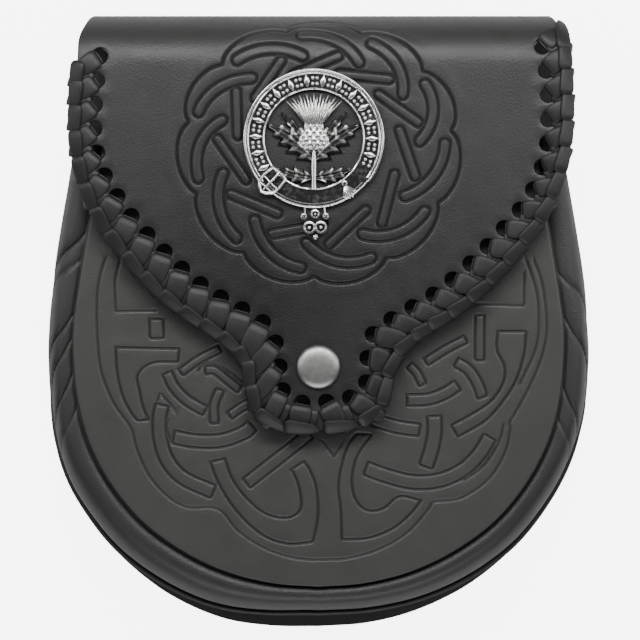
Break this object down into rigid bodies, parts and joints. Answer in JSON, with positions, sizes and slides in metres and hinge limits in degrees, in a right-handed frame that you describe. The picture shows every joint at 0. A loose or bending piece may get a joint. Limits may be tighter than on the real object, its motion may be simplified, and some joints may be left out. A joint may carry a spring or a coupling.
{
  "type": "sporran pouch",
  "caption": "Leather day sporran pouch with a laced, snapped flap, tooled front, soft gusset, cast badge and keepers on the back, lying on its back.",
  "frame": {"origin": "under the middle of the pouch, on the surface that it lies on", "axes": "+X right as seen from the front, +Y towards the fold at the top, +Z out of the front face"},
  "size_m": [0.178, 0.2006, 0.0418],
  "materials": {
    "shell_leather": "satin black, fine grain, tooled",
    "panel_leather": "satin black, fine grain, tooled",
    "gusset_leather": "soft black, creased",
    "lace_leather": "flat black lace, slightly glossy",
    "snap_metal": "satin nickel",
    "badge_metal": "cast, blackened in the recesses"
  },
  "bodies": {
    "root": {"back_and_flap": "shell_leather", "front_panel": "panel_leather", "gusset": "gusset_leather", "piping": "lace_leather", "edge_lacing": "lace_leather", "snap_cap": "snap_metal", "snap_post": "snap_metal", "badge": "badge_metal", "belt_keeper_left": "shell_leather", "belt_keeper_right": "shell_leather"}
  },
  "joints": []
}
